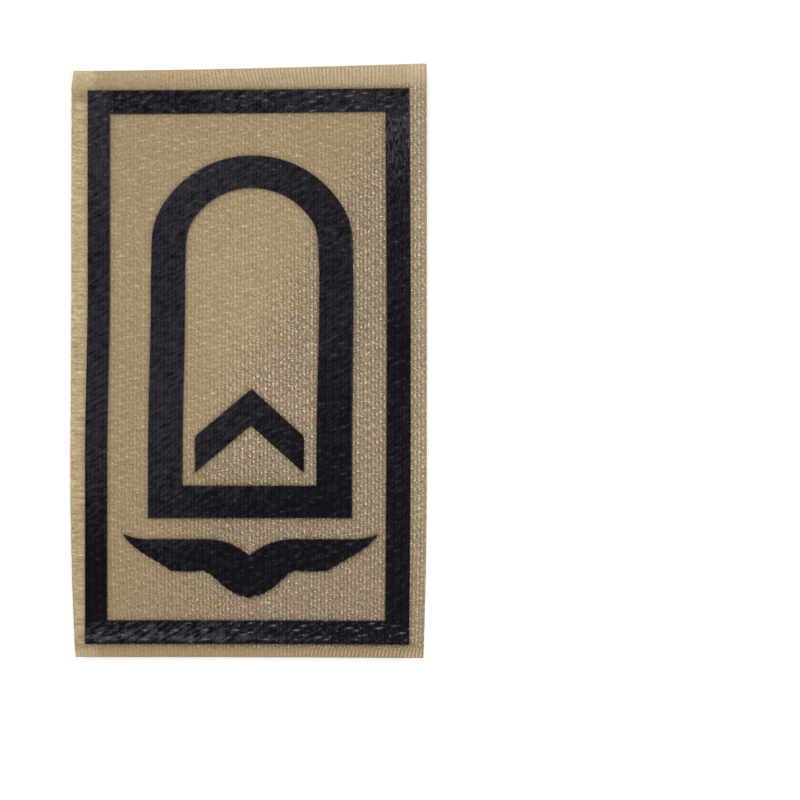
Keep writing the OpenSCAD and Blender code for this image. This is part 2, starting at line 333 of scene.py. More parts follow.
def put_mesh(name, material, points, quads, polygons=(), threads=None, shades=None):
    """A new object from arrays: points, four-sided faces and other faces.

    A point may carry its place among the threads, as uv, and the numbers that the material reads by name.
    """
    mesh = bpy.data.meshes.new(name)
    corners = np.concatenate([quads.ravel(), *polygons]).astype(np.int32)
    sizes = np.concatenate([np.full(len(quads), 4), [len(p) for p in polygons]]).astype(np.int32)
    mesh.vertices.add(len(points))
    mesh.vertices.foreach_set("co", np.ascontiguousarray(points, np.float32).ravel())
    mesh.loops.add(len(corners))
    mesh.loops.foreach_set("vertex_index", corners)
    mesh.polygons.add(len(sizes))
    mesh.polygons.foreach_set("loop_start", np.concatenate([[0], np.cumsum(sizes)[:-1]]).astype(np.int32))
    mesh.polygons.foreach_set("use_smooth", np.ones(len(sizes), bool))
    mesh.update(calc_edges=True)
    if threads is not None:
        layer = mesh.uv_layers.new(name="threads")
        layer.uv.foreach_set("vector", np.ascontiguousarray(threads[corners], np.float32).ravel())
    if mesh.validate():
        raise RuntimeError(f"{name}: the mesh had faults")
    for shade, values in (shades or {}).items():
        layer = mesh.attributes.new(shade, "FLOAT", "POINT")
        layer.data.foreach_set("value", np.ascontiguousarray(values, np.float32).ravel())
    mesh.materials.append(material)
    piece = bpy.data.objects.new(name, mesh)
    bpy.context.scene.collection.objects.link(piece)
    return piece


def grid_quads(index):
    """Four-sided faces of a grid of point numbers, outwards where its rows run up and its columns right."""
    corners = [index[:-1, :-1], index[:-1, 1:], index[1:, 1:], index[1:, :-1]]
    return np.stack(corners, -1).reshape(-1, 4)


def band_quads(low, high):
    """Four-sided faces between two rows of point numbers."""
    return np.stack([low[:-1], low[1:], high[1:], high[:-1]], -1)


def ring_of(index):
    """The point numbers round a grid's edge, from the lower left corner to the right, and back to it."""
    return np.concatenate([index[0, :-1], index[:-1, -1], index[-1, :0:-1], index[::-1, 0]])


def tube_faces(flipped, stations, sides):
    """Side faces and end faces of many alike tubes, turned over where flipped is true.

    A tube's points run ring by ring, with a ring at each of its stations.
    """
    one = np.arange(stations * sides).reshape(stations, sides)
    base = np.arange(len(flipped)) * one.size

    def placed(faces):
        both = np.where(flipped[:, None, None], faces[None, :, ::-1], faces[None])
        return (both + base[:, None, None]).reshape(-1, faces.shape[1])

    side = grid_quads(np.concatenate([one, one[:, :1]], axis=1))
    return placed(side), placed(np.stack([one[0][::-1], one[-1]]))


class Value:
    """A socket that carries a number. Arithmetic on it adds Math nodes to the same tree."""

    def __init__(self, finish, socket):
        self.finish = finish
        self.socket = socket

    def math(self, operation, *terms):
        """A Math node with the given operation on the terms, which are numbers or values."""
        made = self.finish.node("ShaderNodeMath", {"operation": operation})
        for slot, term in zip(made.box.inputs, terms):
            self.finish.feed(slot, term)
        return Value(self.finish, made.box.outputs[0])

    def __add__(self, other):
        return self.math("ADD", self, other)

    __radd__ = __add__

    def __sub__(self, other):
        return self.math("SUBTRACT", self, other)

    def __rsub__(self, other):
        return self.math("SUBTRACT", other, self)

    def __mul__(self, other):
        return self.math("MULTIPLY", self, other)

    __rmul__ = __mul__

    def __truediv__(self, other):
        return self.math("DIVIDE", self, other)

    def __abs__(self):
        return self.math("ABSOLUTE", self)

    def clamped(self):
        """The number held between 0 and 1."""
        return self.math("MINIMUM", self.math("MAXIMUM", self, 0.0), 1.0)

    def nearest(self):
        """Signed distance to the nearest whole number."""
        return self - self.math("ROUND", self)

    def bell(self, reach):
        """1 where the number is 0, falling off to either side, and 1/e at the reach."""
        ratio = self / reach
        return self.math("EXPONENT", ratio * ratio * -1.0)


class Added:
    """A node that has been added, with its outputs by name."""

    def __init__(self, finish, box):
        self.finish = finish
        self.box = box

    def out(self, name):
        return Value(self.finish, self.box.outputs[name])


class Finish:
    """A material in the making: its tree, its shader and the one method that adds nodes."""

    def __init__(self, name):
        self.material = bpy.data.materials.new(name)
        self.material.use_nodes = True
        self.tree = self.material.node_tree
        self.shader = self.tree.nodes["Principled BSDF"]

    def feed(self, slot, value):
        """Gives a socket a value, or a link where the value comes from another node."""
        if isinstance(value, Value):
            self.tree.links.new(value.socket, slot)
        elif slot.type == "RGBA":
            slot.default_value = (*value[:3], 1.0)
        else:
            slot.default_value = value

    def node(self, kind, settings=None, **values):
        """Adds a node of a kind, with its settings first and then its sockets' values or links."""
        box = self.tree.nodes.new(kind)
        for key, value in (settings or {}).items():
            if key == "stops":
                ramp = box.color_ramp.elements
                for place, _ in value[1:-1]:
                    ramp.new(place)
                for stop, (_, colour) in zip(ramp, value):
                    stop.color = (*colour, 1.0)
            else:
                setattr(box, key, value)
        for key, value in values.items():
            self.feed(box.inputs[key], value)
        return Added(self, box)

    def place(self):
        """Object coordinates."""
        return self.node("ShaderNodeTexCoord").out("Object")

    def turned(self, vector, degrees, scale):
        """A vector turned about the upright axis and then scaled along each axis by its own amount."""
        about = (0.0, 0.0, -np.radians(degrees))
        turn = self.node("ShaderNodeMapping", {}, Vector=vector, Rotation=about).out("Vector")
        return self.node("ShaderNodeMapping", {}, Vector=turn, Scale=scale).out("Vector")

    def attribute(self, name):
        """A number that each point of the piece carries."""
        return self.node("ShaderNodeAttribute", {"attribute_name": name}).out("Fac")

    def threads(self):
        """The piece's own map: ribs counted across and groups of picks counted up."""
        both = self.node("ShaderNodeUVMap", {"uv_map": "threads"}).out("UV")
        parts = self.node("ShaderNodeSeparateXYZ", {}, Vector=both)
        return parts.out("X"), parts.out("Y")

    def mix(self, share, a, b, way="MIX"):
        """Blend of two colours by a share, in the node's own way of blending."""
        made = self.node("ShaderNodeMix", {"data_type": "RGBA", "blend_type": way})
        # The node has sockets for other kinds of value too, and these are the ones for colours
        for number, value in zip((0, 6, 7), (share, a, b)):
            self.feed(made.box.inputs[number], value)
        return Value(self, made.box.outputs[2])

    def noise(self, vector, scale, detail=2.0, roughness=0.5):
        """Noise as a number round a half."""
        return self.node(
            "ShaderNodeTexNoise", {}, Vector=vector, Scale=scale, Detail=detail, Roughness=roughness
        ).out("Fac")

    def shade(self, colour, roughness, **constants):
        """Feeds the shader's colour and roughness, and sets its other sockets to constants."""
        self.feed(self.shader.inputs["Base Color"], colour)
        self.feed(self.shader.inputs["Roughness"], roughness)
        for key, value in constants.items():
            self.shader.inputs[key.replace("_", " ")].default_value = value

    def bump(self, height, strength, distance):
        """Feeds the shader's normal from a height."""
        made = self.node("ShaderNodeBump", {}, Height=height, Strength=strength, Distance=distance)
        self.feed(self.shader.inputs["Normal"], made.out("Normal"))


# Soft oval marks round each place where the weft passes over a rib. Each has its distance to the right in
# pairs and up in groups, its half width and half height, and how much paler it is than the cloth. A negative
# one is deeper. On the open weave the pale ovals are painted highlights on the weft, and the deeper ones are
# painted shade in the holes.
CLOTH_MARKS = {
    "swell": (0.0, -0.01, 0.25, 0.11, 1.5),
    "tail": (-0.04, 0.13, 0.17, 0.39, 1.1),
    "left_dot": (-0.54, -0.09, 0.15, 0.11, 2.35),
    "right_dot": (0.46, -0.11, 0.15, 0.1, 1.3),
    "right_link": (0.27, -0.01, 0.12, 0.12, 1.3),
    "left_hole": (-0.3, 0.0, 0.18, 0.16, -0.8),
    "right_hole": (0.34, 0.06, 0.13, 0.09, -0.65),
}
FLAT_MARKS = {
    "strand": (0.05, -0.04, 0.45, 0.08, 1.0),
    "short_strand": (-0.25, 0.42, 0.28, 0.075, 0.9),
    "speck": (0.26, -0.4, 0.14, 0.09, 1.2),
}
# On the film the ovals are painted highlights where it bulges over the weft
FILM_MARKS = {
    "bulge": (0.0, 0.0, 0.37, 0.08, 1.8),
    "beside": (-0.42, -0.22, 0.2, 0.12, 0.35),
    "speck": (0.41, 0.4, 0.12, 0.09, 0.8),
}


def crossing_marks(finish, ribs, groups, marks, least, spread, slant=0.0):
    """Sum of the soft ovals at a place, from the rib on its left and the one on its right.

    Every crossing draws a strength for each oval, from least up by the spread, and shows none where it is
    under 0. With a slant they rise towards the right. An oval that lies far to one side of its rib is left
    out on the other side, where nothing of it would show.
    """
    left = ribs.math("FLOOR", ribs)
    far = 0.27
    total = None
    for rib, wanted in ((left, lambda x: x > -far), (left + 1.0, lambda x: x < far)):
        across = ribs - rib
        quarter = (abs(rib.math("FLOORED_MODULO", rib, 4.0) * 2.0 - 3.5) - 0.5) * 0.25
        turn = groups - quarter - across * slant
        for number, (x, y, width, height, strength) in enumerate(marks.values()):
            if not wanted(x):
                continue
            whole = turn.math("ROUND", turn - y)
            aside, above = (across - x) / width, (turn - y - whole) / height
            oval = across.math("EXPONENT", (aside * aside + above * above) * -1.0)
            crossing = finish.node("ShaderNodeCombineXYZ", {}, X=rib, Y=whole, Z=number + 0.5).out("Vector")
            drawn = finish.node("ShaderNodeTexWhiteNoise", {}, Vector=crossing).out("Value")
            term = oval * drawn.math("MAXIMUM", drawn * spread + least, 0.0) * strength
            total = term if total is None else total + term
    return total


def a_length(name, description, default):
    """A setting that is a length."""
    return bpy.props.FloatProperty(name=name, description=description, default=default, min=0, unit="LENGTH")


def a_colour(name, description, default):
    """A setting that is a colour."""
    return bpy.props.FloatVectorProperty(
        name=name, description=description, default=default, subtype="COLOR"
    )


class WeaveSettings(bpy.types.PropertyGroup):
    relief: a_length("Relief", "Height of the ribs over the holes", 0.2 * MM)
    sunk: a_length("Sunk", "How far the ribs lie under the weft's crests", 0.05 * MM)
    float_wire: a_length("Weft", "Radius of the weft where it passes over a rib", 0.12 * MM)
    rim_roll: a_length("Rim roll", "How far the top rolls down at the edge", 0.42 * MM)
    rim_droop: a_length("Rim droop", "How far the underside turns down at the edge", 0.24 * MM)
    rim_width: a_length("Rim width", "Width of the rolled rim", 1.3 * MM)
    body_colour: a_colour("Cloth", "Colour of the ground weave", (0.222, 0.17, 0.107))
    # Contrast also sets how far the painted highlights on the crests and the painted shade in the holes part
    contrast: bpy.props.FloatProperty(
        name="Contrast", description="How far crests and holes part in tone", default=0.36, min=0
    )


class FilmSettings(bpy.types.PropertyGroup):
    emboss: a_length("Emboss", "How much of the weave shows in the film", 0.11 * MM)
    edge: a_length("Edge", "Width of the rounded edge", 0.16 * MM)
    gloss: bpy.props.FloatProperty(
        name="Gloss", description="Strength of the shine", default=0.12, min=0, max=1, subtype="FACTOR"
    )
    colour: a_colour("Film", "Colour of the pressed film", (0.002, 0.0015, 0.003))
    # The film's colour where painted highlights and painted sheen make it paler
    sheen_colour: a_colour("Worn film", "Colour of the film where it is worn", (0.075, 0.0715, 0.084))


class HookSettings(bpy.types.PropertyGroup):
    inset: a_length("Inset", "Bare cloth round the hooks", 1.6 * MM)
    wire: a_length("Wire", "Radius of a hook's wire", 0.085 * MM)
    bend: a_length("Bend", "Radius of a hook's bend", 0.26 * MM)
    colour: a_colour("Hooks", "Colour of the hooks", (0.36, 0.27, 0.16))


class StageSettings(bpy.types.PropertyGroup):
    distance: a_length("Camera distance", "From the cloth to the camera", 0.3)
    picture_width: a_length("Picture width", "What the picture takes in at the cloth", 111.7 * MM)
    picture_middle: bpy.props.FloatVectorProperty(
        name="Picture middle", description="Place in the picture's middle", default=(21.23 * MM, -5.59 * MM),
        size=2, subtype="XYZ",
    )
    floor_colour: a_colour("Floor", "Colour of the floor", (0.93, 0.93, 0.92))


def tinted(finish, colour):
    """A colour with slow patches over it, some rosier and some greener, and warmer where the cloth is."""
    hue = finish.noise(finish.place(), 620.0, 2.0, 0.6)
    patches = finish.mix(hue, (1.07, 0.97, 1.0), (0.93, 1.03, 0.93))
    warmth = finish.mix(finish.attribute("warm"), (1.0, 1.0, 1.0), (1.05, 1.0, 0.86))
    return finish.mix(1.0, finish.mix(1.0, colour, patches, "MULTIPLY"), warmth, "MULTIPLY")


def toned(finish, level, colour, contrast):
    """A colour at a level: e to the power of level times contrast, a little faster in green and blue."""
    reach = 5.0
    stops = []
    for step in np.linspace(-reach, reach, 11):
        shade = [float(c * np.exp(step * contrast * pace)) for c, pace in zip(colour, (1.0, 1.1, 1.25))]
        stops.append(((step + reach) / (2 * reach), shade))
    return finish.node("ShaderNodeValToRGB", {"stops": stops}, Fac=level / (2 * reach) + 0.5).out("Color")


def woven_finish(name, settings):
    """Tan weave: ribs and dots with painted highlights, holes with painted shade, fibre grain and slow
    patches.

    The ribs and dots show where the weave stands open, and single strands where it is pressed flat.
    """
    finish = Finish(name)
    place = finish.place()
    ribs, groups = finish.threads()
    openness, plain = finish.attribute("open"), finish.attribute("plain")
    off, thin = ribs.nearest(), (ribs - THIN_RIB).nearest()
    # Painted light and shade of the ribs: paler on their crests, darker in the grooves beside them
    columns = off.bell(0.16) * 0.8 + thin.bell(0.2) * 0.66 - (off - 0.22).bell(0.11) * 0.95 - 1.05
    crossings = crossing_marks(finish, ribs, groups, CLOTH_MARKS, 0.86, 0.28)
    strands = crossing_marks(finish, ribs, groups, FLAT_MARKS, -0.4, 1.8, 0.04)
    flat = 1.0 - openness
    shown = openness * (1.12 - openness * 0.25) + 0.1
    grain = finish.noise(place, 7500.0, 1.0)
    blobs = finish.noise(place, 3000.0, 1.0)
    patchy = finish.noise(place, 600.0, 3.0)
    slow = finish.noise(place, 45.0, 2.0)
    across = finish.noise(finish.turned(place, 0.0, (0.14, 1.0, 1.0)), 3600.0, 1.0)
    level = ((columns + crossings) * shown + (strands - 0.13) * flat * flat * 1.17) * (1.0 - plain)
    level = level + (grain - 0.5) * (openness * 10.2 + 2.1) * (1.0 - plain * 0.7)
    level = level + (across - 0.5) * finish.attribute("across") * 3.4
    level = level + (blobs - 0.5) * (2.1 - openness * 1.5)
    # The pale attribute carries the margins' tone and painted light and shade across the patch
    level = level + finish.attribute("pale") + (patchy - 0.5) * 0.5 + (slow - 0.5) * 0.4
    colour = toned(finish, level, settings.body_colour, settings.contrast)
    colour = tinted(finish, colour)
    finish.shade(colour, 0.65, Specular_IOR_Level=0.3, Sheen_Weight=0.12, Sheen_Roughness=0.4)
    finish.bump(grain * 0.8 + blobs, 0.4, 0.05 * MM)
    return finish.material


def film_finish(name, settings):
    """Near-black pressed film, softly glossy, with painted highlights where the weft bulges under it and
    painted sheen in strokes, streaks and blotches.
    """
    finish = Finish(name)
    place = finish.place()
    ribs, groups = finish.threads()
    fine = finish.noise(place, 4200.0, 1.0)
    patchy = finish.noise(finish.turned(place, 30.0, (0.55, 1.0, 1.0)), 1900.0, 1.0)
    strokes = finish.noise(finish.turned(place, 30.0, (0.27, 1.0, 1.0)), 2600.0, 1.5)
    streaks = finish.noise(finish.turned(place, 0.0, (1.0, 0.16, 1.0)), 7500.0, 1.0)
    lines = ribs.math("COSINE", ribs * (4 * np.pi))
    dashes = crossing_marks(finish, ribs, groups, FILM_MARKS, -2.2, 4.0, 0.08)
    worn = finish.attribute("worn")
    # Painted sheen from the light attribute, and painted highlight dashes over the weft's bulges
    share = finish.attribute("light") + dashes * worn * (fine * 1.1 - 0.05)
    # Painted sheen in strokes, streaks and blotches
    for noise, name in ((strokes, "brushed"), (streaks, "streaked"), (patchy, "blotched")):
        share = share + (noise - 0.5) * finish.attribute(name)
    share = share + (fine - 0.5) * (0.2 + 0.3 * worn) + lines * 0.03
    colour = finish.mix(share.clamped(), settings.colour, settings.sheen_colour)
    finish.shade(colour, 0.2 + patchy * 0.2, Specular_IOR_Level=settings.gloss)
    finish.bump(fine, 0.3, 0.03 * MM)
    return finish.material


def mottled_finish(name, deep, pale, scale, detail, roughness, spread=0.0):
    """Plain finish in patches between two colours, rougher by the spread where it is pale."""
    finish = Finish(name)
    tone = finish.noise(finish.place(), scale, detail)
    finish.shade(finish.mix(tone, deep, pale), tone * spread + roughness)
    return finish.material


class PATCH_OT_stage(bpy.types.Operator):
    """Sets up the camera straight above, the pale floor and the soft lights"""

    bl_idname = "patch.stage"
    bl_label = "Camera, floor and lights"

    def execute(self, context):
        scene = context.scene
        settings = scene.patch_stage
        middle = settings.picture_middle
        camera = bpy.data.objects.new("camera", bpy.data.cameras.new("camera"))
        scene.collection.objects.link(camera)
        camera.location = (middle[0], middle[1], settings.distance + CLOTH_TOP)
        camera.data.lens = camera.data.sensor_width * settings.distance / settings.picture_width
        camera.data.clip_start, camera.data.clip_end = 0.01, 10
        scene.camera = camera
        scene.view_settings.view_transform = "Standard"

        side = 3.0
        corners = np.array([[-side, -side, 0], [side, -side, 0], [side, side, 0], [-side, side, 0]])
        pale = settings.floor_colour
        finish = mottled_finish("pale_floor", [c * 0.985 for c in pale], pale, 9.0, 4.0, 0.85)
        floor = put_mesh("floor", finish, corners, np.array([[0, 1, 2, 3]]))

        world = bpy.data.worlds.new("studio")
        world.use_nodes = True
        world.node_tree.nodes["Background"].inputs["Color"].default_value = (0.93, 0.96, 1.0, 1)
        world.node_tree.nodes["Background"].inputs["Strength"].default_value = 0.22
        scene.world = world
        # Each lamp's place, side, power and colour. It faces the patch's middle.
        lamps = {
            "key": ((-0.26, 0.44, 0.5), 0.24, 4.1, (1.0, 0.98, 0.95)),
            "fill": ((0.34, 0.03, 0.46), 0.2, 1.5, (0.97, 0.98, 1.0)),
            "low": ((0.08, -0.34, 0.45), 0.2, 2.1, (0.97, 0.98, 1.0)),
        }
        for name, (spot, size, power, colour) in lamps.items():
            light = bpy.data.lights.new(name, "AREA")
            light.size = size
            light.energy = power
            light.color = colour
            lamp = bpy.data.objects.new(name, light)
            lamp.location = spot
            x, y, z = spot
            lamp.rotation_euler = (np.arctan2(np.hypot(x, y), z), 0, np.arctan2(-y, -x) - np.pi / 2)
            scene.collection.objects.link(lamp)
        return {"FINISHED"}


class PATCH_OT_face_cloth(bpy.types.Operator):
    """Weaves the face cloth: a closed sheet whose top carries every rib, dot and hole"""

    bl_idname = "patch.face_cloth"
    bl_label = "Face cloth"

    def execute(self, context):
        """The top is a grid of shares over the plan, less a quarter circle at the rim and the relief's lows.

        The underside is plain and has few cells. A wall joins the two all round.
        """
        settings = context.scene.patch_weave
        columns, rows = int(PAIRS * CELLS_A_PAIR), int(GROUPS * CELLS_A_GROUP)
        u, v = np.meshgrid(np.linspace(0, 1, columns + 1), np.linspace(0, 1, rows + 1))
        x, y = plan(u, v)
        relief = cloth_relief(u, v)
        plain, _ = margins(u, v)
        ribs, groups = threads_at(u, v)
        rng = np.random.default_rng(7)
        relief = relief + rng.normal(0, 0.04, relief.shape) * (1 - plain)
        dx, dy = self.trim(u, v, groups, rng.normal(0, 0.01, (rows + 1, 1)))
        x, y = x + dx, y + dy

        near = np.clip(1 - np.minimum.reduce(from_edges(u, v)) * MM / settings.rim_width, 0, 1)
        fall = 1 - np.sqrt(1 - near**2)
        sunk = settings.sunk * (1 - plain) + settings.relief * (1 - np.clip(relief, 0, 1)) * (1 - 0.4 * fall)
        top = raised(x, y, CLOTH_TOP - settings.rim_roll * fall - sunk)
        under = raised(x, y, HOOK_TOP + LAYER_GAP - settings.rim_droop * fall)

        top_index = np.arange(top[..., 0].size).reshape(u.shape)
        cut_x, cut_y = (np.linspace(0, *cut).round().astype(int) for cut in ((columns, 32), (rows, 33)))
        kept = np.zeros(u.shape, bool)
        kept[[0, -1], :] = True
        kept[:, [0, -1]] = True
        kept[np.ix_(cut_y, cut_x)] = True
        low_index = np.full(u.shape, -1)
        low_index[kept] = top_index.size + np.arange(kept.sum())
        walls = band_quads(ring_of(low_index), ring_of(top_index))
        cells = [
            self.cell(low_index, cut_y[a], cut_y[a + 1], cut_x[b], cut_x[b + 1], rows, columns)
            for a in range(len(cut_y) - 1) for b in range(len(cut_x) - 1)
        ]
        points = np.concatenate([top.reshape(-1, 3), under[kept]])
        threads = np.stack([ribs, groups], -1)
        piece = put_mesh(
            "woven_face", woven_finish("tan_weave", settings),
            points, np.concatenate([grid_quads(top_index), walls]), cells,
            np.concatenate([threads.reshape(-1, 2), threads[kept]]),
            {shade: np.append(values, values[kept]) for shade, values in cloth_shades(u, v).items()},
        )
        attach(piece, BODY)
        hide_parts("face_cloth")
        return {"FINISHED"}

    @staticmethod
    def trim(u, v, groups, wander):
        """How far the cut moves the places: in at the left side and its upper corner, scalloped and nicked.

        Each group of picks scallops the sides, with a wander in mm for each row. The head and the foot are
        nicked between the ridges of their margins.
        """
        from_left, from_right, from_foot, from_head = from_edges(u, v)
        scallop = 0.015 * (np.abs(np.sin(np.pi * groups)) - 1) + wander
        inwards = blend(0.12, 0.06, smooth(0.6, 0.75, v)) + 0.27 * smooth(2.6, 0.2, from_head) - scallop
        dx = inwards * (1 - smooth(0, 2.2, from_left)) + 0.4 * scallop * (1 - smooth(0, 0.4, from_right))
        nick = (margin_ridges(u, v) - 1) / 2
        at_head = blend(0.05, 0.15, u) * (1 - smooth(0, 0.3, from_head))
        return dx * MM, (at_head - 0.02 * (1 - smooth(0, 0.3, from_foot))) * nick * MM

    @staticmethod
    def cell(index, low, high, left, right, rows, columns):
        """One underside face between two rows and two columns, with every point of a side on the edge."""
        def line(points, whole):
            return points[:-1] if whole else points[:1]

        path = [
            line(index[low:high + 1, left], left == 0),
            line(index[high, left:right + 1], high == rows),
            line(index[low:high + 1, right][::-1], right == columns),
            line(index[low, left:right + 1][::-1], low == 0),
        ]
        return np.concatenate(path)


class PATCH_OT_weft(bpy.types.Operator):
    """Passes the weft over the ribs: a short curved thread for each crossing"""

    bl_idname = "patch.weft"
    bl_label = "Weft over the ribs"

    def execute(self, context):
        """Each thread is a tube whose path sags from the rib's crest into both grooves and rises past them.

        Its radius changes along the path, so that it shows as a swell on the rib and a dot on either side.
        """
        settings = context.scene.patch_weave
        rng = np.random.default_rng(23)
        rib, group = np.meshgrid(np.arange(1, int(PAIRS + FIRST_RIB) + 1), np.arange(-1, int(GROUPS) + 2))
        rib, group = rib.ravel().astype(float), group.ravel() + rib_phase(rib.ravel())
        u, v = (rib - FIRST_RIB) / PAIRS, group / GROUPS
        plain, turned = margins(u, v)
        from_left, from_right, _, _ = from_edges(u, v)
        shown = (plain < 0.5) & (turned < 0.5) & (from_left > 0.6) & (from_right > 0.5)
        shown &= rng.uniform(0, 1, len(rib)) > 0.04
        rib, group = rib[shown], group[shown]
        count = len(rib)

        along = np.array([-0.5, -0.43, -0.25, -0.09, 0.09, 0.25, 0.43, 0.5])
        girth = np.array([0.6, 1.15, 0.45, 1.0, 1.0, 0.5, 1.1, 0.6])
        depth = np.array([0.12, 0.02, 0.11, 0.0, 0.0, 0.08, 0.02, 0.12]) * MM
        shows = crossing_size(rib, np.round(group - rib_phase(rib)))[:, None]
        end = np.where(np.abs(along) > 0.3, rng.normal(0, 0.03, (count, 2))[:, (along > 0).astype(int)], 0)
        t = along * rng.normal(1, 0.05, (count, 1)).clip(0.85, 1.1)
        radius = settings.float_wire * girth * (0.82 + 0.18 * shows)
        pu = (rib[:, None] + t - FIRST_RIB) / PAIRS
        pv = (group[:, None] - 0.1 * (2 * along) ** 2 + end) / GROUPS
        x, y = plan(pu, pv)

        ring = np.radians([0, 90, 180, 270])
        tall = 1.0 + 0.8 * (np.abs(along) < 0.1)
        up = radius[..., None] * np.cos(ring) * tall[None, :, None]
        qy = y[..., None] + up
        qx = np.broadcast_to(x[..., None], qy.shape)
        qh = (CLOTH_TOP - radius - depth)[..., None] + radius[..., None] * np.sin(ring)
        sides, ends = tube_faces(np.ones(count, bool), len(along), len(ring))
        around_u = np.broadcast_to(pu[..., None], qx.shape)
        around_v = pv[..., None] + up / (2 * HALF_H)
        threads = np.stack(threads_at(around_u, around_v), -1).reshape(-1, 2)
        points = raised(qx, qy, qh).reshape(-1, 3)
        quads = np.concatenate([sides, ends])
        shades = cloth_shades(around_u, around_v)
        finish = bpy.data.materials["tan_weave"]
        piece = put_mesh("weft_crossings", finish, points, quads, threads=threads, shades=shades)
        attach(piece, BODY)
        return {"FINISHED"}


def film_strip(name, finish, edge_a, edge_b, closed, settings):
    """Pressed mark between two edges: a skin that follows the weave, rounded edges, walls and a plain back.

    A point of the skin is a straight blend between the edges. Its height is the film's, less the rounding
    near an edge and what the weave's relief leaves low.
    """
    widths = np.linalg.norm(edge_b - edge_a, axis=1)[:, None]
    width = widths.max()
    rim = np.array([0, 0.25, 0.6, 1.0]) * settings.edge / width
    middle = np.linspace(rim[-1], 1 - rim[-1], int(width / FILM_CELL) + 2)[1:-1]
    across = np.concatenate([rim, middle, 1 - rim[::-1]])
    flat = blend(edge_a[:, None, :], edge_b[:, None, :], across[None, :, None])
    x, y = flat[..., 0], flat[..., 1]
    u, v = shares(x, y)
    ribs, groups = threads_at(u, v)
    relief = pressed_weave(ribs, groups, open_weave(u, v))
    near = np.clip(1 - np.minimum(across, 1 - across) * widths / settings.edge, 0, 1)
    rounding = (1 - np.sqrt(1 - near**2)) * FILM_ROUNDING
    skin = raised(x, y, FILM_TOP - settings.emboss * (1 - np.clip(relief, 0, 1)) - rounding)
    back = raised(*np.concatenate([edge_a, edge_b]).T, FILM_LOW)

    n, m = x.shape
    index = np.arange(n * m).reshape(n, m)
    low_a, low_b = n * m + np.arange(n), n * m + n + np.arange(n)
    if closed:
        index = np.concatenate([index, index[:1]])
        low_a, low_b = np.append(low_a, low_a[0]), np.append(low_b, low_b[0])
    walls = [band_quads(index[:, 0], low_a), band_quads(low_b, index[:, -1]), band_quads(low_a, low_b)]
    ends = [] if closed else [
        np.concatenate([index[0, ::-1], [low_a[0], low_b[0]]]),
        np.concatenate([index[-1], [low_b[-1], low_a[-1]]]),
    ]
    points = np.concatenate([skin.reshape(-1, 3), back])
    quads = np.concatenate([grid_quads(index), *walls])
    threads = np.concatenate([np.stack([ribs, groups], -1).reshape(-1, 2), np.zeros((2 * n, 2))])
    shades = film_shades(x / MM, y / MM).items()
    shades = {shade: np.append(values, np.zeros(2 * n)) for shade, values in shades}
    return put_mesh(name, finish, points, quads, ends, threads, shades)


def film_shades(x, y):
    """Numbers for the film's finish at places in mm: its painted sheen overall, its painted highlight
    glints, its painted sheen in strokes, streaks and blotches, and painted shade along the foot bar's lower
    edge.
    """
    right, bar = smooth(-12, 14, x), smooth(17, 19, x)
    foot, low = 1 - smooth(-36.8, -36.2, y), 1 - smooth(-30, -22, y)
    edge = smooth(33.2, 34.8, y)
    head = edge * smooth(-20.5, -18.5, x)
    shaded = low * (1 - foot) * (1 - smooth(-19.5, -18.5, x))
    # A lighter strip of painted sheen low on the left of the foot bar
    sheen_strip = (1 - right) * bell(y, -38.75, 0.32)
    # The light is painted sheen, set place by place across the marks
    left_light = (0.11 + 0.055 * smooth(16, 28, y) + 0.025 * bell(y, -4, 7)) * smooth(-28, -13, y)
    left_light = left_light - 0.035 * low - 0.055 * shaded + 0.07 * bell(x, -11, 5) * bell(y, -25, 4)
    bar_light = 0.21 * smooth(25, 33, y) + 0.01 * smooth(10, 20, y)
    bar_light = bar_light - 0.04 * bell(y, 2, 4) + 0.03 * bell(y, -15, 9)
    right_light = 0.085 * smooth(-14, 8, y) * (1 - 0.6 * bar) - 0.015 + bar * bar_light
    light = blend(left_light, right_light, right)
    light = blend(light, 0.06 + 0.05 * right, head) - 0.02 * bell(y, -20, 2.5)
    light = light + foot * (blend(0.15, 0.04, right) - 0.05 * smooth(-38.6, -37, y) + 0.2 * sheen_strip)
    worn = 0.08 + 1.2 * foot * blend(0.6, 1.0, right) + 0.2 * head + 0.09 * right + 0.45 * head * right
    worn = worn + 0.25 * smooth(15, 30, y) * (1 - right) * (1 - head)
    brushed = blend(0.45, 0.35, right) + (0.8 + 0.5 * sheen_strip) * foot * (1 - right) - 0.2 * head - 0.2 * shaded
    streaked = 0.55 * smooth(-10, 25, y) * blend(0.4, 1.0, bar) + 1.3 * bar * smooth(21, 27, y)
    lit = smooth(-39.5, -39.1, y)
    return {
        "light": light * lit, "worn": worn * lit, "brushed": brushed * lit,
        "streaked": streaked * (1 - edge), "blotched": 0.1 + 0.35 * head,
    }


def walk(corners, step):
    """Points along a closed run of straight sides, evenly spaced on each, with every corner kept."""
    parts = []
    for start, end in zip(corners, np.roll(corners, -1, axis=0)):
        count = max(2, int(np.linalg.norm(end - start) / step))
        parts.append(blend(start, end, (np.arange(count) / count)[:, None]))
    return np.concatenate(parts)


def frame_edges():
    """Outer and inner edge of the border frame: rectangles with a slanted head and a bowed right side."""
    low, high = np.array([-22.36, -39.65]) * MM, np.array([22.52, 37.95]) * MM
    left_bar, bar, slant, bow = 3.1 * MM, 3.3 * MM, 0.32 * MM, 0.2 * MM
    corners = np.array([[0, 0], [1, 0], [1, 1], [0, 1]])
    u, v = (walk(corners * (high - low), 0.17 * MM) / (high - low)).T

    def edge(low, high):
        x = blend(low[0], high[0], u) + bow * u * np.sin(np.pi * v)
        y = blend(low[1], high[1], v) - slant * v * (1 - u**1.5)
        return leaning(x, y)

    return edge(low, high), edge(low + [left_bar, bar], high - bar)


